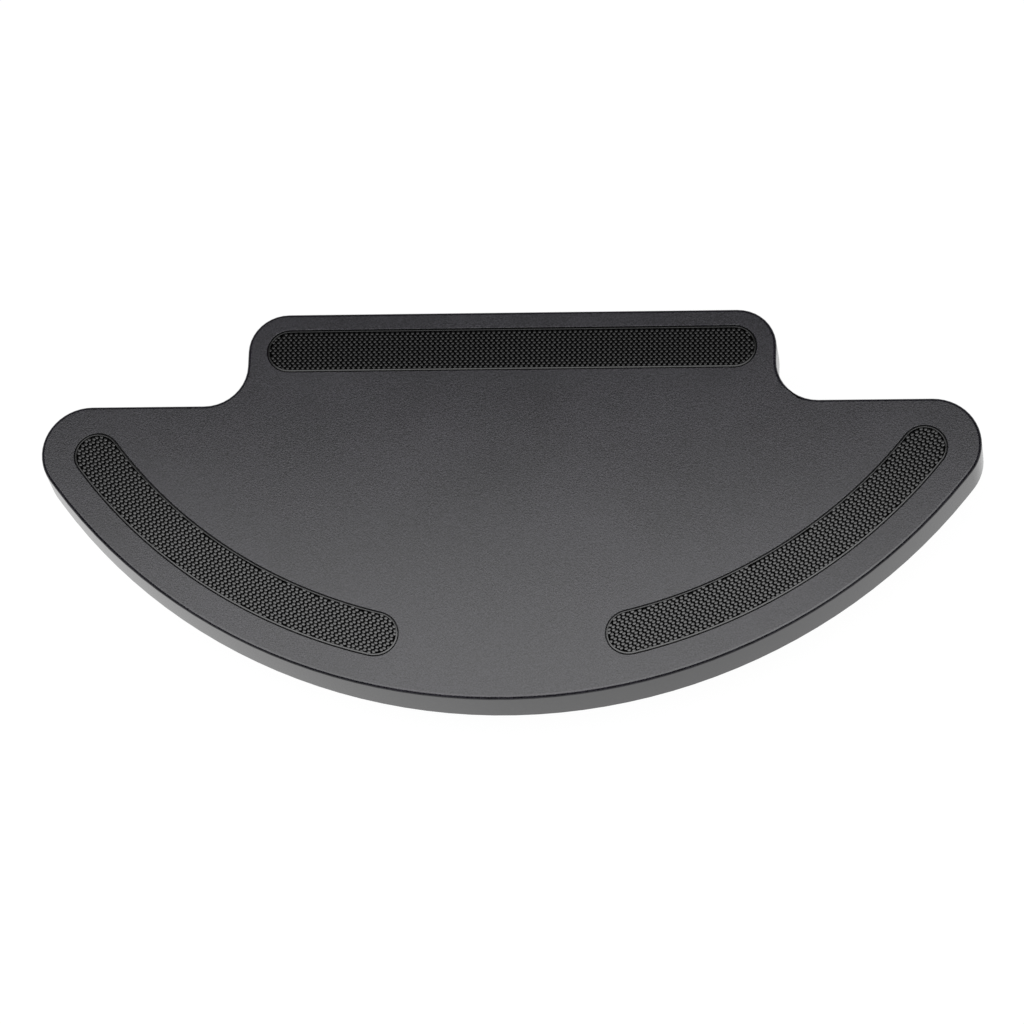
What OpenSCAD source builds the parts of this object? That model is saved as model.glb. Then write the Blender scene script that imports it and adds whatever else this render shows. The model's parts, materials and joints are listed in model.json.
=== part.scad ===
// Half-moon balance board on a rocking dome, with a screw that sets the ride height.
// Z is up and zero is the floor. The dome's axis is X = 0, Y = 0, and the deck's
// round front edge faces -Y. Everything is drawn at the lowest ride height.

/* [Deck] */
// Overall width, ear to ear
deck_w = 600; // [500:1:720]
// Overall depth, front edge to the back of the tab
deck_d = 262.5; // [218:0.5:316]
// Thickness of the deck
deck_h = 32; // [29:0.1:40]
// Height of the deck's underside above the floor at the lowest setting
ride_h = 60; // [58:1:72]
// Radius of the two rear ears
ear_r = 31.3; // [24:0.1:40]
// Width of the rear tab
tab_w = 339; // [280:1:400]
// How far the tab stands out behind the ears
tab_d = 62.5; // [50:0.5:76]
// Radius of the tab's two outer corners
tab_corner_r = 25.4; // [15:0.1:32]
// Radius where the tab runs into the ears
tab_fillet_r = 27; // [12:0.5:32]
// Thickness of the top wall
top_t = 3.2; // [2.6:0.1:4]
// Thickness of the rim wall
rim_t = 3; // [2:0.1:4]
// Thickness of the stiffening ribs
rib_t = 2.2; // [1.6:0.1:3]
// Distance between the ribs
rib_pitch = 58; // [45:1:80]

/* [Grips] */
// Width of the rear grip
rear_grip_w = 28.5; // [20:0.5:36]
// Length of the rear grip, round ends included
rear_grip_l = 314; // [200:1:330]
// Distance from the rear grip to the back of the tab
rear_grip_margin = 11.5; // [8:0.5:16]
// Width of the two curved front grips
front_grip_w = 29.5; // [20:0.5:36]
// Distance from the front grips to the deck's front edge
front_grip_margin = 19.2; // [15:0.1:24]
// Gap between the two front grips' inner end centres, along the curve
front_grip_gap = 162; // [120:1:220]
// How far the outer end centres stop short of the ears' centres
front_grip_stop = 4.7; // [0:0.1:30]
// Thickness of the rubber
grip_t = 2.2; // [1.6:0.1:3]
// Thickness of the adhesive sheet under the rubber
tape_t = 0.3; // [0.2:0.1:0.6]
// How far the rubber stands above the deck
grip_proud = 0.4; // [0:0.1:1]
// Gap around the rubber in its well
grip_gap = 0.3; // [0.3:0.1:1.2]

/* [Hub] */
// Outer radius of the hub's barrel
hub_r = 46; // [44:0.5:54]
// Outer radius of the hub's flange
hub_flange_r = 90; // [84:1:94]
// Distance of the hub screws from the axis
hub_screw_ring_r = 82; // [80:0.5:84]
// Outer radius of the steel backing plate
plate_r = 74; // [60:1:75]
// Thickness of the steel backing plate
plate_t = 3; // [2:0.5:4]
// Outer radius of the guide post
post_r = 21.9; // [20:0.1:23]
// Wall of the guide post
post_wall = 5; // [4:0.5:6]
// Width of the guide post's keys
key_w = 6; // [4:0.5:8]
// Height of the keys above the post
key_h = 2; // [1.5:0.1:2.4]

/* [Height adjuster] */
// Travel from the lowest to the highest setting
lift = 12; // [8:1:13]
// Mean radius of the thread between nut and sleeve
thread_r = 27; // [26.5:0.1:28.5]
// Radius of the nut's journal
nut_r = 34; // [33:0.5:36]
// Radius of the nut's shoulder
nut_shoulder_r = 38; // [36.5:0.5:40]
// Height of the nut's shoulder
nut_shoulder_h = 11.5; // [8:0.5:14]
// Radius of the hand wheel
wheel_r = 64; // [56:1:76]
// Thickness of the hand wheel
wheel_t = 6; // [4:0.5:7]
// Radius of the finger scallops around the hand wheel
scallop_r = 9; // [6:0.5:11]

/* [Dome] */
// Radius of the rocking sphere
dome_r = 104; // [100:1:125]
// Radius of the flat that the board stands on
foot_r = 45; // [38:1:54]
// Height of the dome's rim above the floor
dome_rim_h = 47; // [44:0.5:50]
// Wall of the dome
dome_wall = 4; // [3:0.5:5]
// Thickness of the rubber tread under the dome
tread_t = 8; // [6:0.5:10]
// Radius of the steel foot plate
foot_plate_r = 42; // [41:0.5:44]
// Thickness of the steel foot plate
foot_plate_t = 3; // [2:0.5:4]
// Thickness of the dome's floor above the tread
dome_floor_t = 8; // [6:0.5:10]
// Thickness of the cover plate on the dome
dome_cover_t = 3; // [2:0.5:4]

/* [Bottom cover and bumpers] */
// Thickness of the bottom cover
cover_t = 3; // [2:0.5:4]
// Length of each rubber bumper
bumper_l = 46; // [36:1:60]
// Width of each rubber bumper
bumper_w = 18; // [14:1:22]
// How far the bumpers hang below the deck
bumper_h = 7; // [5:0.5:8]

/* [Hidden] */
$fn = 64;

slack = 0.3;      // loose clearance between pieces that never rub
running = 0.1;    // radial clearance of a running fit
pilot = 0.05;     // what a screw is short of its own hole, all round
cut = 1;          // how far a cutter runs past a face

// Levels
deck_top = ride_h + deck_h;
ceiling = deck_top - top_t;             // underside of the top wall
cover_z = ride_h + 0.5;                 // underside of the bottom cover
cover_top = cover_z + cover_t;
plate_z = ceiling - plate_t;            // underside of the backing plate
washer_t = 1.6;
nut_top = plate_z - washer_t - running;
sleeve_drop = 3.5;                      // how far the sleeve's end stays below the nut's
sleeve_top = nut_top - sleeve_drop;
nut_shoulder_z = nut_top - nut_shoulder_h;
wheel_gap = 2.5;                        // gap under the hand wheel at the lowest setting
wheel_z = dome_rim_h + dome_cover_t + wheel_gap;
flange_rise = 10;                       // height of the hub's flange above the deck's underside
flange_z = ride_h + flange_rise;
flange_t = 4;
dome_floor = tread_t + dome_floor_t;
foot_plate_z = tread_t;

// Plan of the deck, with y = 0 on the straight rear edge of the ears
front_d = deck_d - tab_d;
ear_x = deck_w / 2 - ear_r;
ear_drop = front_d - ear_r;
front_r = (ear_drop * ear_drop + ear_x * ear_x - ear_r * ear_r) / (2 * (ear_drop - ear_r));
front_y = front_r - front_d;
ear_angle = atan2(ear_x, front_y + ear_r);
hub_y = deck_d / 2 - tab_d;             // the hub sits at half the deck's depth

// Front grips
front_grip_r = front_r - front_grip_margin - front_grip_w / 2;
grip_a0 = front_grip_gap / 2 / front_grip_r * 180 / PI;
grip_a1 = ear_angle - front_grip_stop / front_grip_r * 180 / PI;
rear_grip_y = tab_d - rear_grip_margin - rear_grip_w / 2;
grip_z = deck_top + grip_proud - grip_t;
well_z = grip_z - tape_t;
well_floor = 1.8;                       // wall left under a grip's well

// Dome
sphere_z = sqrt(dome_r * dome_r - foot_r * foot_r);
dome_floor_r = sqrt(pow(dome_r, 2) - pow(sphere_z - tread_t, 2));
sleeve_base_r = 32;
stop_r = 24;
stop_t = 3;
stop_room = 9.3;                        // height under the post for the stop washer and its screw
post_end = foot_plate_z + foot_plate_t + stop_room;
stop_ledge = post_end + lift + slack;
boss_ring_r = 74;
foot_screw_ring_r = 35;

// Screws: shank radius, head radius, head height
screw_r = 1.6;
head_r = 3.2;
head_h = 1.8;
head_cone = head_r - screw_r;           // height of a 90 degree countersunk head
hub_screw_r = 2.4;
hub_head_r = 4.4;
hub_head_h = 3;
stop_screw_r = 4;
stop_head_r = 6.5;
stop_head_h = 4.5;
hex_r = 3;                              // hexagon socket in the stop screw
hex_depth = 3;
thread_in = 9;                          // how far a small screw goes into its hole's piece
hub_thread_in = 11;
stop_thread_in = 10;
hole_spare = 1;                         // how much deeper than its screw a blind hole is

// Points of an arc about c, from angle a to angle b in n steps
function arc(c, r, a, b, n) =
    [for (k = [0 : n]) let (t = a + (b - a) * k / n) c + r * [cos(t), sin(t)]];

// Deck outline, every edge moved in by i
function deck_outline(i) = let (
    ear = ear_r - i,
    corner = tab_corner_r - i,
    fillet = tab_fillet_r + i,
    fx = tab_w / 2 + tab_fillet_r,
    cx = tab_w / 2 - tab_corner_r,
    cy = tab_d - tab_corner_r,
    swing = ear_angle * 47 / 48
) concat(
    arc([0, front_y], front_r - i, 270 - swing, 270 + swing, 47),
    arc([ear_x, -ear_r], ear, ear_angle - 90, 90, 18),
    arc([fx, tab_fillet_r], fillet, 270, 180, 10),
    arc([cx, cy], corner, 0, 90, 10),
    arc([-cx, cy], corner, 90, 180, 10),
    arc([-fx, tab_fillet_r], fillet, 360, 270, 10),
    arc([-ear_x, -ear_r], ear, 90, 270 - ear_angle, 18)
);

// Moves a deck plan onto the hub's axis
module on_deck(z) {
    translate([0, hub_y, z]) children();
}

module deck_slab(i, z, h) {
    on_deck(z) linear_extrude(h) polygon(deck_outline(i));
}

// Long slot with round ends, w wide and l long overall
module slot(l, w) {
    polygon(concat(
        arc([l / 2 - w / 2, 0], w / 2, -90, 90, 16),
        arc([w / 2 - l / 2, 0], w / 2, 90, 270, 16)));
}

// Band along the front edge with round ends
module curved_slot(w) {
    mid = front_grip_r;
    a0 = 270 + grip_a0;
    a1 = 270 + grip_a1;
    function at(a) = [0, front_y] + mid * [cos(a), sin(a)];
    polygon(concat(
        arc([0, front_y], mid + w / 2, a0, a1, 30),
        arc(at(a1), w / 2, a1 + 11.25, a1 + 168.75, 14),
        arc([0, front_y], mid - w / 2, a1, a0, 30),
        arc(at(a0), w / 2, a0 + 191.25, a0 + 348.75, 14)));
}

// Plans of the three grips, every edge moved out by i
module rear_grip_plan(i = 0) {
    translate([0, rear_grip_y]) slot(rear_grip_l + 2 * i, rear_grip_w + 2 * i);
}

module front_grip_plan(side, i = 0) {
    mirror([side < 0 ? 1 : 0, 0]) curved_slot(front_grip_w + 2 * i);
}

module all_grip_plans(i) {
    rear_grip_plan(i);
    front_grip_plan(-1, i);
    front_grip_plan(1, i);
}

// Places of the screws that hold the bottom cover
screw_edge = 11;
cover_screw_step = 0.3;                 // spacing along the front, as a share of its angle
cover_screw_spots = concat(
    [for (k = [-2.5 : 2.5]) let (a = 270 + k * ear_angle * cover_screw_step)
        [0, front_y] + (front_r - screw_edge) * [cos(a), sin(a)]],
    [for (s = [-1, 1]) [s * ear_x, -screw_edge]],
    [for (s = [-1, -0.35, 0.35, 1]) [s * (tab_w / 2 - tab_corner_r), tab_d - screw_edge]]);

// Places and headings of the bumpers
bumper_inset = 2;                       // flat cover left between a bumper and the rim
bumper_edge = rim_t + slack + bumper_w / 2 + bumper_inset;
bumper_front = [0, -front_d + bumper_edge, 0];
bumper_rear = [0, tab_d - bumper_edge, 0];
bumper_side = [ear_x - 22, -ear_r - 6, ear_angle];

module bumper_spot(spot) {
    on_deck(0) translate([spot[0], spot[1], 0]) rotate([0, 0, spot[2]]) children();
}

module each_bumper() {
    bumper_spot(bumper_front) children();
    bumper_spot(bumper_rear) children();
    bumper_spot(bumper_side) children();
    mirror([1, 0, 0]) bumper_spot(bumper_side) children();
}

module bumper_screw_spots() {
    for (s = [-1, 1]) translate([s * bumper_l / 4, 0, 0]) children();
}

module around(count, r, start = 0) {
    for (k = [0 : count - 1]) rotate([0, 0, start + k * 360 / count])
        translate([r, 0, 0]) children();
}

// Screw with its head's underside at z = 0 and its point up
module screw(r, length, hr, hh) {
    cylinder(r = r, h = length);
    translate([0, 0, -hh]) cylinder(r = hr, h = hh);
}

// Countersunk screw with its head flush at z = 0 and its point up
module flat_screw(r, length, hr) {
    cylinder(r = r, h = length);
    cylinder(r1 = hr, r2 = r, h = hr - r);
}

// ---------- deck ----------

rib_top = ceiling + 0.5;                // ribs and bosses run this far into the top wall
well_border = 2;                        // thicker wall outside a well's edge
cover_boss_r = 4.5;
cover_screw_l = 12;
hub_boss_r = 6;
bumper_boss_r = 4;
bumper_boss_h = 8;

// Ribs under the top wall, with room for the hub and for the cover's bosses
module ribs() {
    difference() {
        intersection() {
            deck_slab(rim_t / 2, cover_top + slack, rib_top - cover_top - slack);
            union() {
                for (x = [rib_pitch / 2 : rib_pitch : deck_w / 2], s = [-1, 1])
                    translate([s * x - rib_t / 2, -deck_d, ride_h])
                        cube([rib_t, 2 * deck_d, deck_h]);
                for (k = [-1, 0, 1])
                    translate([-deck_w, k * rib_pitch - rib_t / 2, ride_h])
                        cube([2 * deck_w, rib_t, deck_h]);
            }
        }
        translate([0, 0, ride_h]) cylinder(r = hub_flange_r + slack, h = deck_h - top_t);
        each_bumper() bumper_screw_spots() translate([0, 0, cover_top])
            cylinder(r = bumper_boss_r + slack, h = bumper_boss_h + slack);
    }
}

module top_shell() {
    color([0.17, 0.17, 0.18]) difference() {
        union() {
            difference() {
                deck_slab(0, ride_h, deck_h);
                deck_slab(rim_t, ride_h - cut, deck_h - top_t + cut);
            }
            ribs();
            // thicker wall under the wells, clear of the backing plate
            difference() {
                on_deck(well_z - well_floor) linear_extrude(well_floor + top_t / 2)
                    all_grip_plans(grip_gap + well_border);
                translate([0, 0, plate_z]) cylinder(r = plate_r + slack, h = plate_t);
            }
            for (p = cover_screw_spots) on_deck(cover_top)
                translate([p[0], p[1], 0]) cylinder(r = cover_boss_r, h = rib_top - cover_top);
            around(6, hub_screw_ring_r, 30) translate([0, 0, flange_z + flange_t])
                cylinder(r = hub_boss_r, h = rib_top - flange_z - flange_t);
        }
        on_deck(well_z) linear_extrude(deck_top - well_z + cut) all_grip_plans(grip_gap);
        for (p = cover_screw_spots) on_deck(cover_top) translate([p[0], p[1], 0])
            cylinder(r = screw_r, h = cover_screw_l);
        around(6, hub_screw_ring_r, 30) translate([0, 0, flange_z])
            cylinder(r = hub_screw_r, h = flange_t + hub_thread_in + hole_spare);
    }
}

module bottom_cover() {
    color([0.2, 0.2, 0.21]) difference() {
        union() {
            deck_slab(rim_t + slack, cover_z, cover_t);
            each_bumper() bumper_screw_spots() translate([0, 0, cover_top - cut])
                cylinder(r = bumper_boss_r, h = bumper_boss_h + cut);
        }
        translate([0, 0, cover_z - cut]) cylinder(r = hub_r + slack, h = cover_t + 2 * cut);
        for (p = cover_screw_spots) on_deck(cover_z - cut) translate([p[0], p[1], 0]) {
            cylinder(r = screw_r + slack, h = cover_t + 2 * cut);
            cylinder(r = head_r + slack, h = cut + head_h);
        }
        each_bumper() bumper_screw_spots() translate([0, 0, cover_z - cut])
            cylinder(r = screw_r, h = cover_t + bumper_boss_h - hole_spare + cut);
    }
}

module grip(side) {
    on_deck(grip_z) linear_extrude(grip_t) {
        if (side == 0) rear_grip_plan();
        else front_grip_plan(side);
    }
}

module grip_tape(side) {
    on_deck(well_z) linear_extrude(tape_t) {
        if (side == 0) rear_grip_plan(-1);
        else front_grip_plan(side, -1);
    }
}

module rear_grip() { color([0.08, 0.08, 0.09]) grip(0); }
module left_grip() { color([0.08, 0.08, 0.09]) grip(-1); }
module right_grip() { color([0.08, 0.08, 0.09]) grip(1); }
module rear_grip_tape() { color([0.85, 0.83, 0.75]) grip_tape(0); }
module left_grip_tape() { color([0.85, 0.83, 0.75]) grip_tape(-1); }
module right_grip_tape() { color([0.85, 0.83, 0.75]) grip_tape(1); }

module cover_screws() {
    color([0.55, 0.55, 0.57]) for (p = cover_screw_spots) on_deck(cover_z + head_h)
        translate([p[0], p[1], 0]) screw(screw_r - pilot, cover_screw_l, head_r, head_h);
}

// Rubber bumper with two counterbored screw holes
module bumper() {
    translate([0, 0, cover_z - bumper_h]) difference() {
        linear_extrude(bumper_h) slot(bumper_l, bumper_w);
        bumper_screw_spots() {
            translate([0, 0, -cut]) cylinder(r = screw_r + slack, h = bumper_h + 2 * cut);
            translate([0, 0, -cut]) cylinder(r = head_r + slack, h = bumper_h / 2 + cut);
        }
    }
}

module front_bumper() { color([0.1, 0.1, 0.1]) bumper_spot(bumper_front) bumper(); }
module rear_bumper() { color([0.1, 0.1, 0.1]) bumper_spot(bumper_rear) bumper(); }
module right_bumper() { color([0.1, 0.1, 0.1]) bumper_spot(bumper_side) bumper(); }
module left_bumper() {
    color([0.1, 0.1, 0.1]) mirror([1, 0, 0]) bumper_spot(bumper_side) bumper();
}

module bumper_screws() {
    color([0.55, 0.55, 0.57]) each_bumper() bumper_screw_spots()
        translate([0, 0, cover_z - bumper_h / 2])
            screw(screw_r - pilot, bumper_h / 2 + thread_in, head_r, head_h);
}

// ---------- hub, fixed in the deck ----------

post_flange_r = 27;
post_flange_t = 3;
post_screw_ring_r = 19.4;
post_plug_h = 12;                       // solid end of the post, above the stop washer
hub_lift = 0.2;                         // gap between the hub and the cover's underside level
hub_rib_t = 3;
hub_rib_h = 7;
hub_rib_short = 6;                      // how far the ribs end inside the flange's rim

module hub_housing() {
    color([0.13, 0.13, 0.14]) difference() {
        union() {
            translate([0, 0, ride_h + hub_lift]) cylinder(r = hub_r, h = plate_z - ride_h - hub_lift);
            translate([0, 0, flange_z]) cylinder(r = hub_flange_r, h = flange_t);
            around(6, hub_r - 2 * cut)
                translate([0, -hub_rib_t / 2, flange_z + flange_t / 2])
                    cube([hub_flange_r - hub_r - hub_rib_short - 2 * cut, hub_rib_t, hub_rib_h]);
        }
        translate([0, 0, ride_h - cut]) cylinder(r = nut_r + running, h = deck_h);
        translate([0, 0, nut_shoulder_z - slack]) cylinder(r = nut_shoulder_r + slack, h = deck_h);
        around(6, hub_screw_ring_r, 30) translate([0, 0, flange_z - cut])
            cylinder(r = hub_screw_r + slack, h = flange_t + 2 * cut);
    }
}

module backing_plate() {
    color([0.6, 0.61, 0.63]) difference() {
        translate([0, 0, plate_z]) cylinder(r = plate_r, h = plate_t);
        around(4, post_screw_ring_r) translate([0, 0, plate_z - cut]) {
            cylinder(r = screw_r + slack, h = plate_t + 2 * cut);
            translate([0, 0, cut + plate_t - head_cone - slack])
                cylinder(r1 = screw_r, r2 = head_r + slack, h = head_cone + slack);
        }
    }
}

module hub_screws() {
    color([0.55, 0.55, 0.57]) around(6, hub_screw_ring_r, 30) translate([0, 0, flange_z])
        screw(hub_screw_r - pilot, flange_t + hub_thread_in, hub_head_r, hub_head_h);
}

module thrust_washer() {
    color([0.85, 0.83, 0.76]) translate([0, 0, plate_z - washer_t]) difference() {
        cylinder(r = nut_shoulder_r, h = washer_t);
        translate([0, 0, -cut]) cylinder(r = post_flange_r + 1, h = washer_t + 2 * cut);
    }
}

module post_keys(w, r) {
    for (s = [0, 180]) rotate([0, 0, s]) translate([0, -w / 2, 0]) square([r, w]);
}

module guide_post() {
    color([0.7, 0.71, 0.73]) difference() {
        union() {
            translate([0, 0, post_end]) cylinder(r = post_r, h = plate_z - post_end);
            translate([0, 0, plate_z - post_flange_t]) cylinder(r = post_flange_r, h = post_flange_t);
            intersection() {
                translate([0, 0, post_end]) linear_extrude(plate_z - post_end)
                    post_keys(key_w, post_r + 2 * key_h);
                translate([0, 0, post_end]) cylinder(r = post_r + key_h, h = plate_z - post_end);
            }
        }
        translate([0, 0, post_end + post_plug_h])
            cylinder(r = post_r - post_wall, h = deck_h + ride_h);
        translate([0, 0, post_end - cut]) cylinder(r = stop_screw_r, h = post_plug_h + 2 * cut);
        around(4, post_screw_ring_r) translate([0, 0, plate_z - thread_in - 3 * hole_spare])
            cylinder(r = screw_r, h = thread_in + 3 * hole_spare + cut);
    }
}

module post_screws() {
    color([0.55, 0.55, 0.57]) around(4, post_screw_ring_r) translate([0, 0, plate_z + plate_t])
        mirror([0, 0, 1]) flat_screw(screw_r - pilot, plate_t + thread_in + hole_spare, head_r);
}

module stop_washer() {
    color([0.6, 0.61, 0.63]) translate([0, 0, post_end - stop_t]) difference() {
        cylinder(r = stop_r, h = stop_t);
        translate([0, 0, -cut]) cylinder(r = stop_screw_r + slack, h = stop_t + 2 * cut);
    }
}

module stop_screw() {
    color([0.55, 0.55, 0.57]) translate([0, 0, post_end - stop_t]) difference() {
        screw(stop_screw_r - pilot, stop_t + stop_thread_in, stop_head_r, stop_head_h);
        translate([0, 0, -stop_head_h - cut]) cylinder(r = hex_r, h = hex_depth + cut, $fn = 6);
    }
}

// ---------- height adjuster ----------

wheel_screw_ring_r = (thread_r + nut_r) / 2;
scallops = 16;
scallop_out = 0.6;                      // how far out a scallop's centre is, in its own radii

module adjusting_nut() {
    color([0.75, 0.73, 0.66]) difference() {
        union() {
            translate([0, 0, wheel_z + wheel_t]) cylinder(r = nut_r, h = nut_top - wheel_z - wheel_t);
            translate([0, 0, nut_shoulder_z]) cylinder(r = nut_shoulder_r, h = nut_shoulder_h);
        }
        translate([0, 0, wheel_z]) cylinder(r = thread_r + running, h = deck_h + ride_h);
        around(4, wheel_screw_ring_r, 45) translate([0, 0, wheel_z + wheel_t - cut])
            cylinder(r = screw_r, h = thread_in + 3 * hole_spare + cut);
    }
}

module hand_wheel() {
    color([0.3, 0.31, 0.33]) translate([0, 0, wheel_z]) difference() {
        cylinder(r = wheel_r, h = wheel_t);
        translate([0, 0, -cut]) cylinder(r = thread_r + running, h = wheel_t + 2 * cut);
        around(scallops, wheel_r + scallop_r * scallop_out) translate([0, 0, -cut])
            cylinder(r = scallop_r, h = wheel_t + 2 * cut);
        around(4, wheel_screw_ring_r, 45) translate([0, 0, -cut]) {
            cylinder(r = screw_r + slack, h = wheel_t + 2 * cut);
            cylinder(r = head_r + running, h = head_h + cut);
        }
    }
}

module hand_wheel_screws() {
    color([0.55, 0.55, 0.57]) around(4, wheel_screw_ring_r, 45)
        translate([0, 0, wheel_z + head_h])
            screw(screw_r - pilot, wheel_t + thread_in, head_r, head_h);
}

// ---------- dome ----------

// Slice of the rocking sphere between two heights
module sphere_slice(r, z0, z1) {
    rotate_extrude() intersection() {
        translate([0, sphere_z]) circle(r = r, $fn = 160);
        translate([0, z0]) square([2 * r, z1 - z0]);
    }
}

dome_boss_r = 5;
dome_boss_h = 12;
dome_screw_l = 10;
foot_boss_h = 8;
foot_hole_l = 14;
dome_rib_t = 3;

// Ribs from the sleeve to the wall, a little lower than the screw bosses on them
module dome_ribs() {
    intersection() {
        sphere_slice(dome_r - dome_wall / 2, dome_floor - cut, dome_rim_h - cut);
        for (k = [0 : 7]) rotate([0, 0, k * 45 + 22.5])
            translate([sleeve_base_r - 2 * cut, -dome_rib_t / 2, dome_floor - cut])
                cube([dome_r, dome_rib_t, dome_rim_h]);
    }
}

module dome_shell() {
    color([0.15, 0.15, 0.16]) difference() {
        union() {
            difference() {
                sphere_slice(dome_r, tread_t, dome_rim_h);
                sphere_slice(dome_r - dome_wall, dome_floor, dome_rim_h + cut);
            }
            dome_ribs();
            translate([0, 0, tread_t + cut]) cylinder(r = sleeve_base_r, h = dome_rim_h - tread_t - cut);
            translate([0, 0, tread_t + cut]) cylinder(r = thread_r, h = sleeve_top - tread_t - cut);
            around(8, boss_ring_r, 22.5) translate([0, 0, dome_rim_h - dome_boss_h])
                cylinder(r = dome_boss_r, h = dome_boss_h);
            around(4, foot_screw_ring_r) translate([0, 0, dome_floor - cut])
                cylinder(r = dome_boss_r, h = foot_boss_h + cut);
        }
        translate([0, 0, tread_t - cut]) cylinder(r = foot_plate_r + slack, h = foot_plate_t + cut);
        translate([0, 0, tread_t]) cylinder(r = stop_r + slack, h = stop_ledge - tread_t);
        translate([0, 0, tread_t]) cylinder(r = post_r + running, h = sleeve_top);
        translate([0, 0, stop_ledge - cut]) linear_extrude(sleeve_top)
            post_keys(key_w + 2 * running, post_r + key_h + slack);
        around(8, boss_ring_r, 22.5) translate([0, 0, dome_rim_h - dome_boss_h + 2 * hole_spare])
            cylinder(r = screw_r, h = dome_boss_h);
        around(4, foot_screw_ring_r) translate([0, 0, tread_t])
            cylinder(r = screw_r, h = foot_hole_l);
    }
}

module dome_cover() {
    rim_r = sqrt(pow(dome_r, 2) - pow(sphere_z - dome_rim_h, 2));
    color([0.15, 0.15, 0.16]) translate([0, 0, dome_rim_h]) difference() {
        cylinder(r = rim_r, h = dome_cover_t);
        translate([0, 0, -cut]) cylinder(r = thread_r + slack, h = dome_cover_t + 2 * cut);
        around(8, boss_ring_r, 22.5) {
            translate([0, 0, -cut]) cylinder(r = screw_r + slack, h = dome_cover_t + 2 * cut);
            translate([0, 0, dome_cover_t - head_h]) cylinder(r = head_r + slack, h = head_h + cut);
        }
    }
}

module dome_screws() {
    color([0.55, 0.55, 0.57]) around(8, boss_ring_r, 22.5)
        translate([0, 0, dome_rim_h + dome_cover_t - head_h]) mirror([0, 0, 1])
            screw(screw_r - pilot, dome_screw_l, head_r, head_h);
}

module foot_plate() {
    color([0.6, 0.61, 0.63]) translate([0, 0, foot_plate_z]) difference() {
        cylinder(r = foot_plate_r, h = foot_plate_t);
        around(4, foot_screw_ring_r) translate([0, 0, -cut])
            cylinder(r = screw_r + slack, h = foot_plate_t + 2 * cut);
        around(4, foot_screw_ring_r) translate([0, 0, -slack])
            cylinder(r1 = head_r + 2 * slack, r2 = screw_r, h = head_cone + 2 * slack);
    }
}

module foot_screws() {
    color([0.55, 0.55, 0.57]) around(4, foot_screw_ring_r) translate([0, 0, foot_plate_z])
        flat_screw(screw_r - pilot, foot_plate_t + thread_in, head_r);
}

module tread_pad() {
    color([0.09, 0.09, 0.09]) sphere_slice(dome_r, 0, tread_t);
}

top_shell();
bottom_cover();
rear_grip();
left_grip();
right_grip();
rear_grip_tape();
left_grip_tape();
right_grip_tape();
cover_screws();
hub_housing();
backing_plate();
hub_screws();
thrust_washer();
guide_post();
post_screws();
stop_washer();
stop_screw();
front_bumper();
rear_bumper();
left_bumper();
right_bumper();
bumper_screws();
adjusting_nut();
hand_wheel();
hand_wheel_screws();
dome_shell();
dome_cover();
dome_screws();
foot_plate();
foot_screws();
tread_pad();
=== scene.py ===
"""Half-moon balance board: moulded deck, knurled rubber grips, hub and rocking dome."""
import json
import math

import bmesh
import bpy
from mathutils import Matrix, Vector


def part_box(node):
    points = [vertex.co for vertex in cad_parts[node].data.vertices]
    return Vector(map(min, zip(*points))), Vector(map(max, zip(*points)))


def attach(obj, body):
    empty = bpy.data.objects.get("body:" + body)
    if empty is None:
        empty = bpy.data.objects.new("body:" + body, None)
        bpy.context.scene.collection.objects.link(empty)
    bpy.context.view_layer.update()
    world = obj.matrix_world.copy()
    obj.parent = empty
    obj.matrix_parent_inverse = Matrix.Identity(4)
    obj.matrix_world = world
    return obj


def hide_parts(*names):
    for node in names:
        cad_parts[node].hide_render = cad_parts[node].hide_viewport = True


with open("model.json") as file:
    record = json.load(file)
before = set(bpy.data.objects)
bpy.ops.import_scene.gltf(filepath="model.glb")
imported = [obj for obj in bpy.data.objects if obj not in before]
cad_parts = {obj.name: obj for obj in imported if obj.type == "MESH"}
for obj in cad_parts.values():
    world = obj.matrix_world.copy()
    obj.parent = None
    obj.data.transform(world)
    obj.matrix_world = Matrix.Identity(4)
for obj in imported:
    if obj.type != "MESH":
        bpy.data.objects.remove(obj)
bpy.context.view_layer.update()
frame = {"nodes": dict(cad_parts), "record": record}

MM = 0.001

# ---------- sizes, in metres ----------

deck_low, deck_high = (Vector(corner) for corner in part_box("top_shell"))
deck_half = deck_high.x
deck_back = deck_high.y
deck_front = deck_low.y
deck_top = deck_high.z
deck_base = deck_low.z

ear_r = 31.3 * MM
tab_d = 62.5 * MM

ear_line = deck_back - tab_d
ear_x = deck_half - ear_r
ear_drop = ear_line - deck_front - ear_r
front_r = (ear_drop ** 2 + ear_x ** 2 - ear_r ** 2) / (2 * (ear_drop - ear_r))
front_y = deck_front + front_r
ear_turn = math.atan2(ear_x, front_y - ear_line + ear_r)

grip_low, grip_high = (Vector(corner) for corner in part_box("rear_grip"))
grip_base = grip_low.z
grip_top = grip_high.z
rear_grip_l = grip_high.x - grip_low.x
rear_grip_w = grip_high.y - grip_low.y
rear_grip_y = (grip_high.y + grip_low.y) / 2
front_grip_w = 29.5 * MM
front_grip_margin = 19.2 * MM
front_grip_start = 81 * MM
front_grip_end = 4.7 * MM
front_grip_r = front_r - front_grip_margin - front_grip_w / 2
grip_a0 = front_grip_start / front_grip_r
grip_a1 = ear_turn - front_grip_end / front_grip_r


# ---------- outlines ----------

def arc(centre, radius, start, end, steps):
    """Points of an arc, angles in radians from +X."""
    turns = (start + (end - start) * k / steps for k in range(steps + 1))
    return [(centre[0] + radius * math.cos(t), centre[1] + radius * math.sin(t)) for t in turns]


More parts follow.
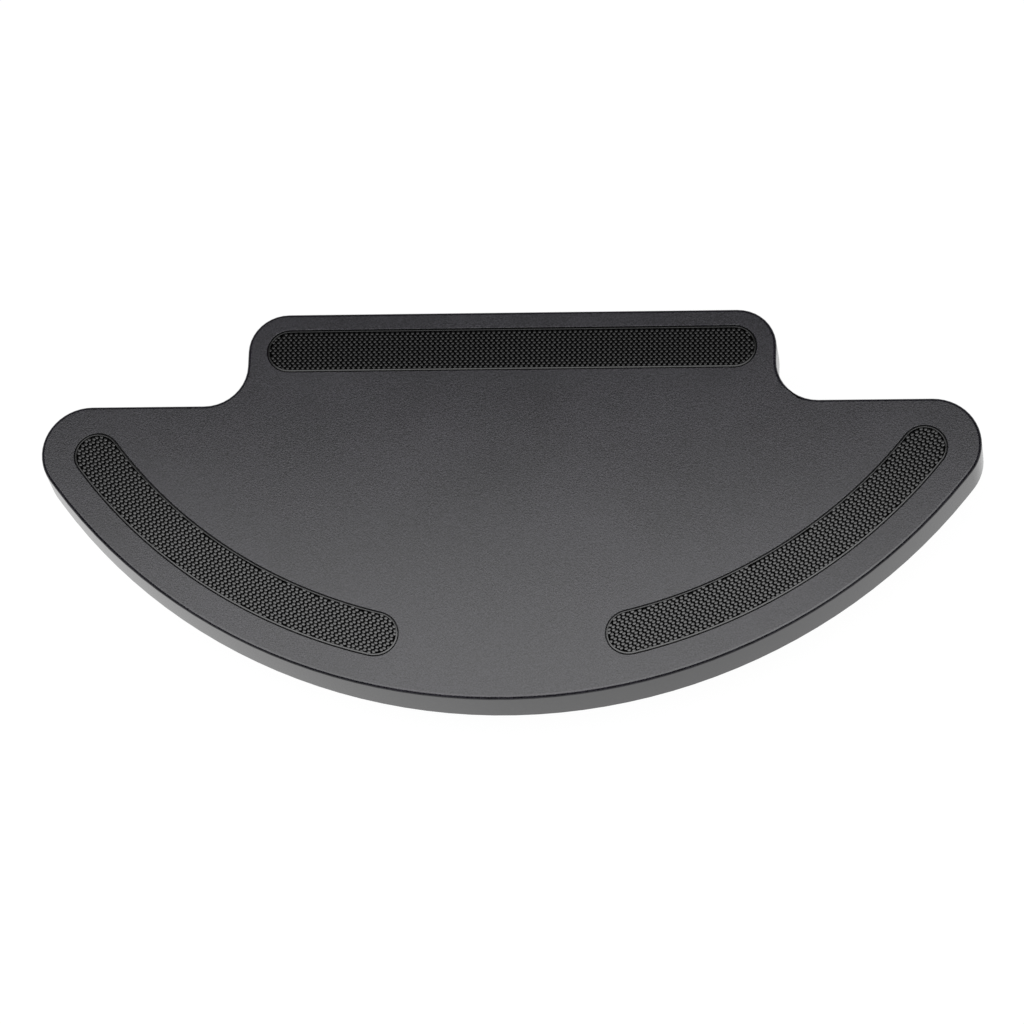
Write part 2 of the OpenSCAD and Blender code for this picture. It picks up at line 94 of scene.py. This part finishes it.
def rear_grip_outline():
    radius = rear_grip_w / 2
    end = rear_grip_l / 2 - radius
    right = arc((end, rear_grip_y), radius, -math.pi / 2, math.pi / 2, 24)
    left = arc((-end, rear_grip_y), radius, math.pi / 2, 1.5 * math.pi, 24)
    return right + left


def front_grip_outline(side):
    half = front_grip_w / 2
    start = 1.5 * math.pi + grip_a0
    end = 1.5 * math.pi + grip_a1
    outer_cap = arc((0, front_y), front_grip_r, end, end, 1)[0]
    inner_cap = arc((0, front_y), front_grip_r, start, start, 1)[0]
    step = math.pi / 24
    points = (
        arc((0, front_y), front_grip_r + half, start, end, 60)
        + arc(outer_cap, half, end + step, end + math.pi - step, 22)
        + arc((0, front_y), front_grip_r - half, end, start, 60)
        + arc(inner_cap, half, start + math.pi + step, start + 2 * math.pi - step, 22)
    )
    if side > 0:
        return points
    return [(-x, y) for x, y in reversed(points)]


def grip_outline(side):
    """A grip's edge: -1 is the left one, 0 the rear one, 1 the right one."""
    return front_grip_outline(side) if side else rear_grip_outline()


def depth_in_grip(side, x, y):
    """How far a point lies inside a grip's edge."""
    if side == 0:
        end = rear_grip_l / 2 - rear_grip_w / 2
        beyond = max(abs(x) - end, 0)
        return rear_grip_w / 2 - math.hypot(beyond, y - rear_grip_y)
    x *= side
    turn = math.atan2(x, front_y - y)
    nearest = min(max(turn, grip_a0), grip_a1)
    foot = (front_grip_r * math.sin(nearest), front_y - front_grip_r * math.cos(nearest))
    return front_grip_w / 2 - math.hypot(x - foot[0], y - foot[1])


# ---------- bench work ----------

corner_angle = math.radians(40)
height_slop = 0.01 * MM
overcut = 1 * MM


def clear_selection():
    for thing in bpy.context.selected_objects:
        thing.select_set(False)


def take(piece):
    """Makes a piece the only selected one."""
    if bpy.context.object and bpy.context.object.mode != "OBJECT":
        bpy.ops.object.mode_set(mode="OBJECT")
    clear_selection()
    piece.select_set(True)
    bpy.context.view_layer.objects.active = piece


def open_up(piece, mode="FACE"):
    take(piece)
    bpy.ops.object.mode_set(mode="EDIT")
    bpy.ops.mesh.select_mode(type=mode)
    bpy.ops.mesh.select_all(action="DESELECT")


def close_up():
    bpy.ops.object.mode_set(mode="OBJECT")


def pick_faces(piece, wanted):
    bpy.ops.mesh.select_mode(type="FACE")
    bpy.ops.mesh.select_all(action="DESELECT")
    form = bmesh.from_edit_mesh(piece.data)
    form.normal_update()
    for face in form.faces:
        face.select_set(wanted(face))
    bmesh.update_edit_mesh(piece.data)


def pick_edges(piece, wanted):
    bpy.ops.mesh.select_mode(type="EDGE")
    bpy.ops.mesh.select_all(action="DESELECT")
    form = bmesh.from_edit_mesh(piece.data)
    form.normal_update()
    for edge in form.edges:
        edge.select_set(wanted(edge))
    bmesh.update_edit_mesh(piece.data)


def at_height(part, z):
    return all(abs(vert.co.z - z) < height_slop for vert in part.verts)


def facing(face, z):
    return face.normal.z * z > 0.9


def is_rim(edge, z):
    """An edge at height z between a level face and an upright one."""
    if not at_height(edge, z) or len(edge.link_faces) != 2:
        return False
    slopes = sorted(abs(face.normal.z) for face in edge.link_faces)
    return slopes[0] < 0.1 and slopes[1] > 0.9


def is_corner(edge):
    return len(edge.link_faces) == 2 and edge.calc_face_angle() > corner_angle


def middle_of(edge):
    return (edge.verts[0].co + edge.verts[1].co) / 2


def laid_out(name, points, z):
    """A flat face whose edge runs through the points."""
    bpy.ops.object.select_all(action="DESELECT")
    bpy.ops.mesh.primitive_circle_add(vertices=len(points), radius=1, fill_type="NGON")
    piece = bpy.context.object
    piece.name = piece.data.name = name
    for vert, (x, y) in zip(piece.data.vertices, points):
        vert.co = (x, y, z)
    return piece


def raised(name, points, z, height):
    """A slab of that height on an outline."""
    piece = laid_out(name, points, z)
    open_up(piece)
    bpy.ops.mesh.select_all(action="SELECT")
    bpy.ops.mesh.extrude_region_move(TRANSFORM_OT_translate={"value": (0, 0, height)})
    bpy.ops.mesh.select_all(action="SELECT")
    bpy.ops.mesh.normals_make_consistent(inside=False)
    close_up()
    return piece


def built_up(name, rings, sides):
    """A round solid built up from the floor, ring by ring, from radii and heights."""
    radius, height = rings[0]
    bpy.ops.object.select_all(action="DESELECT")
    bpy.ops.mesh.primitive_circle_add(
        vertices=sides, radius=radius, fill_type="NGON", location=(0, 0, height))
    piece = bpy.context.object
    piece.name = piece.data.name = name
    settle(piece)
    open_up(piece)
    bpy.ops.mesh.select_all(action="SELECT")
    for wide, high in rings[1:]:
        bpy.ops.mesh.extrude_region_move(
            TRANSFORM_OT_translate={"value": (0, 0, high - height)})
        share = wide / radius
        bpy.ops.transform.resize(value=(share, share, 1), center_override=(0, 0, high))
        radius, height = wide, high
    bpy.ops.mesh.select_all(action="SELECT")
    bpy.ops.mesh.normals_make_consistent(inside=False)
    close_up()
    return piece


def cad_copy(name, node):
    """A free copy of a CAD node's shape with its triangles joined up."""
    piece = bpy.data.objects.new(name, frame["nodes"][node].data.copy())
    bpy.context.scene.collection.objects.link(piece)
    open_up(piece, "VERT")
    bpy.ops.mesh.select_all(action="SELECT")
    bpy.ops.mesh.remove_doubles(threshold=1e-6)
    bpy.ops.mesh.dissolve_limited(angle_limit=math.radians(0.5))
    close_up()
    return piece


def cut_away(piece, cutter):
    take(piece)
    cut = piece.modifiers.new("cut", "BOOLEAN")
    cut.operation = "DIFFERENCE"
    cut.solver = "EXACT"
    cut.object = cutter
    bpy.ops.object.modifier_apply(modifier=cut.name)
    bpy.data.objects.remove(cutter)


def round_edges(piece, wanted, radius, segments):
    pick_edges(piece, wanted)
    bpy.ops.mesh.bevel(offset=radius, segments=segments, affect="EDGES", clamp_overlap=False)


def soften(piece, width, bore=0.0):
    """Rounds the sharp edges that lie farther from the dome's axis than its bore."""
    open_up(piece)
    round_edges(piece, lambda e: is_corner(e) and middle_of(e).xy.length > bore, width, 2)
    close_up()


def smooth(piece, angle=32):
    take(piece)
    bpy.ops.object.shade_smooth_by_angle(angle=math.radians(angle))


def weigh_normals(piece):
    """Keeps big flat faces flat where they meet small rounded ones."""
    take(piece)
    weigh = piece.modifiers.new("weigh", "WEIGHTED_NORMAL")
    weigh.keep_sharp = True
    weigh.weight = 80
    bpy.ops.object.modifier_apply(modifier=weigh.name)


def settle(piece):
    """Puts a piece's place and turn into its mesh."""
    take(piece)
    bpy.ops.object.transform_apply(location=True, rotation=True, scale=True)


def joined(pieces):
    """Makes one piece of several, under the name of the first."""
    take(pieces[0])
    for piece in pieces:
        piece.select_set(True)
    bpy.ops.object.join()
    return pieces[0]


def install(piece, body, finish, slot, *nodes):
    piece.data.materials.clear()
    piece.data.materials.append(finish)
    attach(piece, body)
    if nodes:
        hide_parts(*nodes)


# ---------- deck ----------

edge_r = 2.3 * MM
base_edge_r = 0.4 * MM
well_edge_r = 0.25 * MM


def in_well(edge):
    """Whether an edge belongs to the wells of the grips."""
    spot = middle_of(edge)
    return max(depth_in_grip(side, spot.x, spot.y) for side in (-1, 0, 1)) > -2 * MM


def make_deck_shell(finish):
    """The deck with a rounded rim and with the edges of its three wells broken."""
    deck = cad_copy("deck_shell", "top_shell")
    open_up(deck)
    round_edges(deck, lambda e: is_rim(e, deck_top) and not in_well(e), edge_r, 5)
    round_edges(deck, lambda e: is_rim(e, deck_top) and in_well(e), well_edge_r, 2)
    round_edges(deck, lambda e: is_rim(e, deck_base), base_edge_r, 2)
    close_up()
    smooth(deck)
    weigh_normals(deck)
    install(deck, "deck", finish, "deck_plastic", "top_shell")


# ---------- grips ----------

bead_steps = (
    (0.12, 0.12), (0.35, 0.22), (0.35, 0.12), (0.25, 0.02),
    (0.2, -0.03), (0.15, -0.2), (0.15, -0.6))
bead_w = sum(step[0] for step in bead_steps) * MM
bead_rise = 0.48 * MM
field_drop = 1.5 * MM
field_corner = 0.05 * MM
stud_root = 0.05 * MM
knurl_pitch = 3.27 * MM
front_knurl_rows = 3.75 * MM
rear_knurl_rows = 3.56 * MM
front_knurl_lean = 0.3
rear_knurl_lean = -0.4
front_knurl_turn = math.radians(33.5)
knurl_edge = -0.1 * MM
knurl_sides = 10
front_knurl_r = (1.45 * MM, 1.2 * MM)
rear_knurl_r = (1.22 * MM, 1.3 * MM)
knurl_h = 1.3 * MM
knurl_rings = ((1.0, 0.0), (1.0, 0.5), (0.94, 0.8), (0.84, 0.93), (0.5, 1.0))


def make_knurl(radii):
    """One small oval rubber stud with a broad crown, about its own base."""
    knurl = built_up("knurl", knurl_rings, knurl_sides)
    knurl.scale = (*radii, knurl_h)
    settle(knurl)
    return knurl


def repeat(piece, count, step):
    take(piece)
    row = piece.modifiers.new("row", "ARRAY")
    row.count = count
    row.use_relative_offset = False
    row.use_constant_offset = True
    row.constant_offset_displace = step
    bpy.ops.object.modifier_apply(modifier=row.name)


def make_studs(side, base):
    """Pairs of studs, in rows that fill the inside of one grip."""
    rows = front_knurl_rows if side else rear_knurl_rows
    lean = side * front_knurl_lean if side else rear_knurl_lean
    length = front_grip_r * (grip_a1 - grip_a0) + front_grip_w if side else rear_grip_l
    breadth = 4 * front_grip_w if side else rear_grip_w
    across = math.ceil(length / knurl_pitch) + 1
    along = math.ceil(breadth / rows) + 1
    studs = make_knurl(front_knurl_r if side else rear_knurl_r)
    repeat(studs, 2, (lean * knurl_pitch, rows / 2, 0))
    repeat(studs, across, (knurl_pitch, 0, 0))
    repeat(studs, along, (0, rows, 0))
    size = Vector(((across - 1) * knurl_pitch, (along - 0.5) * rows, 0))
    place_studs(studs, side, size, base)
    keep_inside(studs, side)
    return studs


def place_studs(studs, side, size, base):
    turn = side * front_knurl_turn
    middle = Vector((0, rear_grip_y, base))
    if side:
        half_way = (grip_a0 + grip_a1) / 2
        middle.x = side * front_grip_r * math.sin(half_way)
        middle.y = front_y - front_grip_r * math.cos(half_way)
    studs.rotation_euler = (0, 0, turn)
    studs.location = middle - Matrix.Rotation(turn, 3, "Z") @ (size / 2)
    settle(studs)


def keep_inside(studs, side):
    """Takes out the studs that would stand on or outside the border."""
    per_stud = knurl_sides * len(knurl_rings)
    spots = studs.data.vertices
    kept = set()
    for first in range(0, len(spots), per_stud):
        ring = [spots[first + k].co for k in range(per_stud)]
        x = sum(co.x for co in ring) / per_stud
        y = sum(co.y for co in ring) / per_stud
        if depth_in_grip(side, x, y) > bead_w + knurl_edge:
            kept.update(range(first, first + per_stud))
    open_up(studs, "VERT")
    form = bmesh.from_edit_mesh(studs.data)
    form.verts.ensure_lookup_table()
    for vert in form.verts:
        vert.select_set(vert.index not in kept)
    form.select_flush_mode()
    bmesh.update_edit_mesh(studs.data)
    bpy.ops.mesh.delete(type="VERT")
    close_up()


def make_grip(name, side, finish):
    """A rubber strip: a rounded bead all round a sunk field of studs."""
    wall = grip_top - bead_rise - grip_base
    grip = raised(name + "_rubber", grip_outline(side), grip_base, wall)
    open_up(grip)
    pick_faces(grip, lambda f: at_height(f, grip_base + wall) and facing(f, 1))
    for width, rise in bead_steps:
        bpy.ops.mesh.inset(thickness=width * MM, depth=rise * MM)
    bead_fall = sum(rise for width, rise in bead_steps) * MM
    field = grip_top - field_drop
    bpy.ops.mesh.inset(thickness=field_corner, depth=field - grip_base - wall - bead_fall)
    close_up()
    grip = joined([grip, make_studs(side, field - stud_root)])
    smooth(grip, 60)
    install(grip, "deck", finish, "grip_rubber", name)


# ---------- fittings underneath ----------

# edges inside this radius stay sharp: rounding them throws points off the surface
keyed_bore = 40 * MM


def make_fitting(name, node, body, slot, edge, bore=0.0):
    """A CAD piece's own shape with its moulded or turned edges rounded."""
    piece = cad_copy(name, node)
    soften(piece, edge, bore)
    smooth(piece)
    weigh_normals(piece)
    install(piece, body, finishes[slot], slot, node)


foot_r = 45 * MM
foot_edge = 0.4 * MM
foot_rise = 0.25 * MM
flank_grooves = (1.6 * MM, 3.4 * MM, 5.2 * MM)
flank_groove = 0.7 * MM
tread_corner = 0.2 * MM
ring_lands = (5 * MM, 6 * MM, 6 * MM, 6 * MM, 6 * MM)
ring_groove = 1.4 * MM
spoke_count = 12
spoke_w = 1.6 * MM
spoke_start = 9 * MM
spoke_overrun = 2 * MM
tread_sides = 144


def make_tread(finish):
    """The dome's rubber sole: ringed flank, and a foot cut into blocks."""
    low, high = (Vector(corner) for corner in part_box("tread_pad"))
    rim_r = high.x
    height = high.z
    ball_z = (rim_r ** 2 + height ** 2 - foot_r ** 2) / (2 * height)
    ball_r = math.hypot(foot_r, ball_z)

    def flank(z, sink=0.0):
        return (math.sqrt(ball_r ** 2 - (ball_z - z) ** 2) - sink, z)

    rings = [(foot_r - foot_edge, 0), flank(foot_rise)]
    for z in flank_grooves:
        top = z + flank_groove
        rings += [flank(z), flank(z, flank_groove), flank(top, flank_groove), flank(top)]
    rings += [flank(height - tread_corner), (rim_r - tread_corner, height)]
    tread = built_up("tread_rubber_pad", rings, tread_sides)
    open_up(tread)
    pick_faces(tread, lambda f: at_height(f, 0) and facing(f, -1))
    for land in ring_lands:
        bpy.ops.mesh.inset(thickness=land)
        bpy.ops.mesh.inset(thickness=tread_corner, depth=-ring_groove)
        bpy.ops.mesh.inset(thickness=ring_groove)
        bpy.ops.mesh.inset(thickness=tread_corner, depth=ring_groove)
    close_up()
    cut_away(tread, make_spokes())
    smooth(tread)
    install(tread, "fulcrum", finish, "tread_rubber", "tread_pad")


def make_spokes():
    """A star of bars, to cut the straight grooves of the foot."""
    half = spoke_w / 2
    end = foot_r + spoke_overrun
    corners = [(spoke_start, -half), (end, -half), (end, half), (spoke_start, half)]
    bars = []
    for k in range(spoke_count):
        bar = raised("bar", corners, -overcut, ring_groove + overcut)
        bar.rotation_euler = (0, 0, 2 * math.pi * k / spoke_count)
        settle(bar)
        bars.append(bar)
    return joined(bars)


def screw_places(node):
    """The corners of the box round each screw of a CAD node."""
    probe = cad_copy("probe", node)
    open_up(probe)
    bpy.ops.mesh.select_all(action="SELECT")
    bpy.ops.mesh.separate(type="LOOSE")
    close_up()
    places = []
    for part in list(bpy.context.selected_objects):
        spots = [vert.co for vert in part.data.vertices]
        low = Vector([min(co[k] for co in spots) for k in range(3)])
        high = Vector([max(co[k] for co in spots) for k in range(3)])
        places.append((low, high))
        bpy.data.objects.remove(part)
    return sorted(places, key=lambda box: (round(box[0].x, 5), round(box[0].y, 5)))


screw_head_h = 1.8 * MM
screw_shank_r = 1.55 * MM
screw_point = 1.2 * MM
screw_head_gap = 0.02 * MM
screw_sides = 24
recess_reach = 0.62
recess_half = 0.14
recess_depth = 0.65


def cross_outline(reach, half):
    """A plus sign that reaches that far and is twice half wide."""
    arm = [(reach, -half), (reach, half), (half, half)]
    points = []
    for c, s in ((1, 0), (0, 1), (-1, 0), (0, -1)):
        points += [(x * c - y * s, x * s + y * c) for x, y in arm]
    return points


def make_screw(low, high):
    """A pan-head screw with a cross recess, its head down."""
    box_r = (high.x - low.x) / 2
    head_r = box_r - screw_head_gap
    length = high.z - low.z
    screw = built_up("screw", [
        (0.7 * box_r, 0), (0.9 * box_r, 0.14 * screw_head_h), (head_r, 0.45 * screw_head_h),
        (head_r, screw_head_h), (screw_shank_r, screw_head_h),
        (screw_shank_r, length - screw_point), (0.4 * screw_shank_r, length)], screw_sides)
    cross = cross_outline(recess_reach * box_r, recess_half * box_r)
    cut_away(screw, raised("recess", cross, -overcut, overcut + recess_depth * screw_head_h))
    smooth(screw, 40)
    return screw


def make_screws(name, node, body, finish):
    """One screw, copied to every place that the CAD node has one."""
    places = screw_places(node)
    pattern = make_screw(*places[0])
    copies = []
    for low, high in places:
        screw = pattern.copy()
        screw.data = pattern.data.copy()
        bpy.context.scene.collection.objects.link(screw)
        screw.location = ((low.x + high.x) / 2, (low.y + high.y) / 2, low.z)
        settle(screw)
        copies.append(screw)
    bpy.data.objects.remove(pattern)
    screws = joined(copies)
    screws.name = name
    install(screws, body, finish, "screw_steel", node)


# ---------- finishes ----------

class Value:
    """A shader socket that takes part in sums."""

    def __init__(self, finish, socket):
        self.finish = finish
        self.socket = socket

    def _math(self, operation, first, second):
        return self.finish.node("ShaderNodeMath", {"operation": operation}, {0: first, 1: second})

    def __add__(self, other):
        return self._math("ADD", self, other)

    __radd__ = __add__

    def __sub__(self, other):
        return self._math("SUBTRACT", self, other)

    def __rsub__(self, other):
        return self._math("SUBTRACT", other, self)

    def __mul__(self, other):
        return self._math("MULTIPLY", self, other)

    __rmul__ = __mul__


class Finish:
    """One material, built from nodes round a Principled shader."""

    def __init__(self, name, rough, specular=0.5, metal=0.0):
        self.material = bpy.data.materials.new(name)
        self.material.use_nodes = True
        self.nodes = self.material.node_tree.nodes
        self.links = self.material.node_tree.links
        self.shader = self.nodes["Principled BSDF"]
        self.set(**{"Roughness": rough, "Specular IOR Level": specular, "Metallic": metal})

    def plug(self, socket, value):
        if isinstance(value, Value):
            self.links.new(value.socket, socket)
        else:
            socket.default_value = value

    def set(self, **sockets):
        for name, value in sockets.items():
            self.plug(self.shader.inputs[name], value)

    def node(self, kind, settings=None, sockets=None, out=0):
        made = self.nodes.new(kind)
        for name, value in (settings or {}).items():
            setattr(made, name, value)
        for name, value in (sockets or {}).items():
            self.plug(made.inputs[name], value)
        return Value(self, made.outputs[out])

    def place(self):
        return self.node("ShaderNodeTexCoord", out="Object")

    def along(self, axis):
        """Distance from the origin along one axis."""
        return self.node("ShaderNodeSeparateXYZ", {}, {0: self.place()}, axis)

    def upward(self):
        """How far the surface faces up."""
        normal = self.node("ShaderNodeTexCoord", out="Normal")
        return self.node("ShaderNodeSeparateXYZ", {}, {0: normal}, "Z")

    def noise(self, size, detail=2.0, rough=0.5):
        """Cloudy noise of about that size in metres."""
        return self.node("ShaderNodeTexNoise", {"noise_dimensions": "4D"}, {
            "Vector": self.place(), "Scale": 1 / size, "Detail": detail, "Roughness": rough})

    def cells(self, size):
        """Pebbled cells of about that size in metres."""
        return self.node("ShaderNodeTexVoronoi", {"feature": "F1"}, {
            "Vector": self.place(), "Scale": 1 / size})

    def ramp(self, value, low, high):
        """Value between two limits, as 0 to 1."""
        return self.node("ShaderNodeMapRange", {"clamp": True}, {
            "Value": value, "From Min": low, "From Max": high})

    def mix(self, share, first, second):
        """One colour turning into another."""
        return self.node("ShaderNodeMix", {"data_type": "RGBA"}, {
            0: share, 6: (*first, 1), 7: (*second, 1)}, 2)

    def bump(self, height, depth):
        return self.node("ShaderNodeBump", {}, {"Height": height, "Distance": depth, "Strength": 1})


def deck_plastic():
    """Black plastic with a fine grain on the top and a smooth rim."""
    f = Finish("deck_plastic", 0.45, 0.28)
    top = f.ramp(f.upward(), 0.94, 0.995)
    clouds = f.noise(60 * MM, 3)
    sand = f.noise(0.9 * MM, 1, 0.6)
    pores = f.cells(1.1 * MM)
    grain = sand * 0.5 + pores * 0.5
    tone = f.ramp(sand * 0.8 + clouds * 0.2, 0.4, 0.6)
    f.set(**{
        "Base Color": f.mix(tone, (0.0006, 0.0005, 0.0012), (0.0095, 0.009, 0.0115)),
        "Roughness": 0.18 + top * (0.16 + clouds * 0.05),
        "Normal": f.bump(grain * top, 0.085 * MM),
    })
    return f.material


def grip_rubber():
    """Black rubber, lighter and smoother on the crowns of its studs where rubbed, with painted
    shade: black pits between the studs, and crowns darker towards the rear.
    """
    f = Finish("grip_rubber", 0.4, 0.34)
    crown = f.ramp(f.along("Z"), grip_top - 1.1 * MM, grip_top - 0.45 * MM)
    # painted shade mask: 0 at the front, rising to 1 at the rear grip, where it darkens the stud
    # crowns
    rear_crown_shade = f.ramp(f.along("Y"), -20 * MM, rear_grip_y)
    dust = f.noise(1.2 * MM, 3)
    f.set(**{
        "Base Color": f.mix(crown * dust, (0.0008, 0.0008, 0.0008), (0.009, 0.009, 0.0092)),
        # Metallic over the near-black base colour is painted shade: it turns the pits and stud
        # roots black, and darkens the crowns towards the rear, dimming their highlight.
        "Metallic": 1 - crown * (1 - rear_crown_shade * 0.6),
        "Roughness": 0.55 - crown * 0.25 + dust * 0.08,
        "Normal": f.bump(f.noise(0.5 * MM), 0.02 * MM),
    })
    return f.material


def moulded(name, colour, rough, grain, depth=0.03 * MM):
    """Moulded plastic or rubber: cloudy tone and a spark-eroded grain."""
    f = Finish(name, rough)
    clouds = f.noise(30 * MM, 4)
    sand = f.noise(grain, 3, 0.6)
    tone = f.ramp(clouds * 0.6 + sand * 0.4, 0.3, 0.7)
    f.set(**{
        "Base Color": f.mix(tone, tuple(c * 0.8 for c in colour), tuple(c * 1.25 for c in colour)),
        "Roughness": rough - 0.06 + clouds * 0.12,
        "Normal": f.bump(sand, depth),
    })
    return f.material


def metal(name, colour, rough, grain):
    """Plated or turned metal with faint mottling and fine tool marks."""
    f = Finish(name, rough, metal=1.0)
    clouds = f.noise(8 * MM, 4)
    marks = f.noise(grain, 2, 0.7)
    f.set(**{
        "Base Color": f.mix(clouds, tuple(c * 0.86 for c in colour), colour),
        "Roughness": rough - 0.08 + clouds * 0.1 + marks * 0.1,
        "Normal": f.bump(marks, 0.008 * MM),
    })
    return f.material


# ---------- studio ----------

floor_size = 60
floor_gap = 0.3 * MM
camera_height = math.radians(68.06)
camera_swing = math.radians(16.74)
camera_roll = math.radians(-16.09)
camera_reach = 3.927
camera_aim = (4.05 * MM, ear_line - 74.97 * MM, deck_top)
lens_length = 218.6
sensor_width = 36


def make_floor():
    bpy.ops.mesh.primitive_plane_add(size=floor_size, location=(0, 0, -floor_gap))
    floor = bpy.context.object
    floor.name = "floor"
    f = Finish("floor_paper", 0.9, 0.0)
    f.set(**{
        "Base Color": (0.03, 0.03, 0.03, 1),
        "Emission Color": (1, 1, 1, 1),
        "Emission Strength": 0.97,
    })
    floor.data.materials.append(f.material)
    settle(floor)


def make_softbox(name, centre, aim, width, length, power):
    light = bpy.data.lights.new(name, "AREA")
    light.shape = "RECTANGLE"
    light.size = width
    light.size_y = length
    light.energy = power
    lamp = bpy.data.objects.new(name, light)
    lamp.location = centre
    lamp.rotation_euler = (Vector(aim) - Vector(centre)).to_track_quat("-Z", "Y").to_euler()
    bpy.context.scene.collection.objects.link(lamp)


def make_camera():
    """A long lens from above the front right, rolled a little."""
    level = math.cos(camera_height)
    back = Vector((
        math.sin(camera_swing) * level, -math.cos(camera_swing) * level, math.sin(camera_height)))
    right = (-back).cross(Vector((0, 0, 1))).normalized()
    up = right.cross(-back)
    tilted_right = math.cos(camera_roll) * right + math.sin(camera_roll) * up
    tilted_up = -math.sin(camera_roll) * right + math.cos(camera_roll) * up
    lens = bpy.data.cameras.new("camera")
    lens.lens = lens_length
    lens.sensor_width = sensor_width
    camera = bpy.data.objects.new("camera", lens)
    camera.matrix_world = Matrix.Translation(Vector(camera_aim) + camera_reach * back) @ Matrix(
        (tilted_right, tilted_up, back)).transposed().to_4x4()
    bpy.context.scene.collection.objects.link(camera)
    bpy.context.scene.camera = camera


def make_world():
    world = bpy.data.worlds.new("studio")
    world.use_nodes = True
    world.node_tree.nodes["Background"].inputs[0].default_value = (0.01, 0.01, 0.011, 1)
    bpy.context.scene.world = world
    bpy.context.scene.view_settings.view_transform = "Standard"


def all_finishes():
    """The finish for each of the record's material slots."""
    return {
        "deck_plastic": deck_plastic(),
        "grip_rubber": grip_rubber(),
        "cover_plastic": moulded("cover_plastic", (0.012, 0.012, 0.013), 0.42, 0.9 * MM),
        "tape_acrylic": moulded("tape_acrylic", (0.6, 0.56, 0.46), 0.7, 0.5 * MM),
        "hub_nylon": moulded("hub_nylon", (0.01, 0.01, 0.011), 0.4, 1.2 * MM),
        "zinc_steel": metal("zinc_steel", (0.56, 0.57, 0.58), 0.35, 1.5 * MM),
        "post_aluminium": metal("post_aluminium", (0.7, 0.71, 0.73), 0.3, 0.6 * MM),
        "nut_acetal": moulded("nut_acetal", (0.55, 0.53, 0.45), 0.4, 1.5 * MM),
        "wheel_plastic": moulded("wheel_plastic", (0.035, 0.036, 0.039), 0.42, 0.8 * MM),
        "dome_plastic": moulded("dome_plastic", (0.011, 0.011, 0.012), 0.38, 1.0 * MM, 0.05 * MM),
        "tread_rubber": moulded("tread_rubber", (0.009, 0.009, 0.0095), 0.6, 0.6 * MM, 0.05 * MM),
        "screw_steel": metal("screw_steel", (0.5, 0.5, 0.52), 0.28, 0.5 * MM),
    }


def finish_cad_nodes(finishes):
    for part in frame["record"]["subparts"]:
        node = frame["nodes"][part["node"]]
        node.data.materials.clear()
        node.data.materials.append(finishes[part["material_slot"]])


make_camera()
make_world()
make_floor()
make_softbox("overhead", (-0.005, -0.14, 0.75), (-0.005, -0.14, 0), 1.4, 0.75, 25.5)

finishes = all_finishes()
finish_cad_nodes(finishes)
make_deck_shell(finishes["deck_plastic"])
for grip_name, grip_side in (("left_grip", -1), ("rear_grip", 0), ("right_grip", 1)):
    make_grip(grip_name, grip_side, finishes["grip_rubber"])
make_fitting("cover_panel", "bottom_cover", "deck", "cover_plastic", 0.3 * MM)
make_fitting("hub_barrel", "hub_housing", "deck", "hub_nylon", 0.5 * MM)
make_fitting("wheel_rim", "hand_wheel", "adjuster", "wheel_plastic", 0.8 * MM, keyed_bore)
make_fitting("dome_bowl", "dome_shell", "fulcrum", "dome_plastic", 0.4 * MM, keyed_bore)
make_fitting("dome_lid", "dome_cover", "fulcrum", "dome_plastic", 0.5 * MM)
for spot in ("front", "rear", "left", "right"):
    make_fitting(spot + "_bumper_pad", spot + "_bumper", "deck", "tread_rubber", 0.9 * MM)
make_tread(finishes["tread_rubber"])
make_screws("cover_screw_set", "cover_screws", "deck", finishes["screw_steel"])
make_screws("bumper_screw_set", "bumper_screws", "deck", finishes["screw_steel"])
make_screws("wheel_screw_set", "hand_wheel_screws", "adjuster", finishes["screw_steel"])
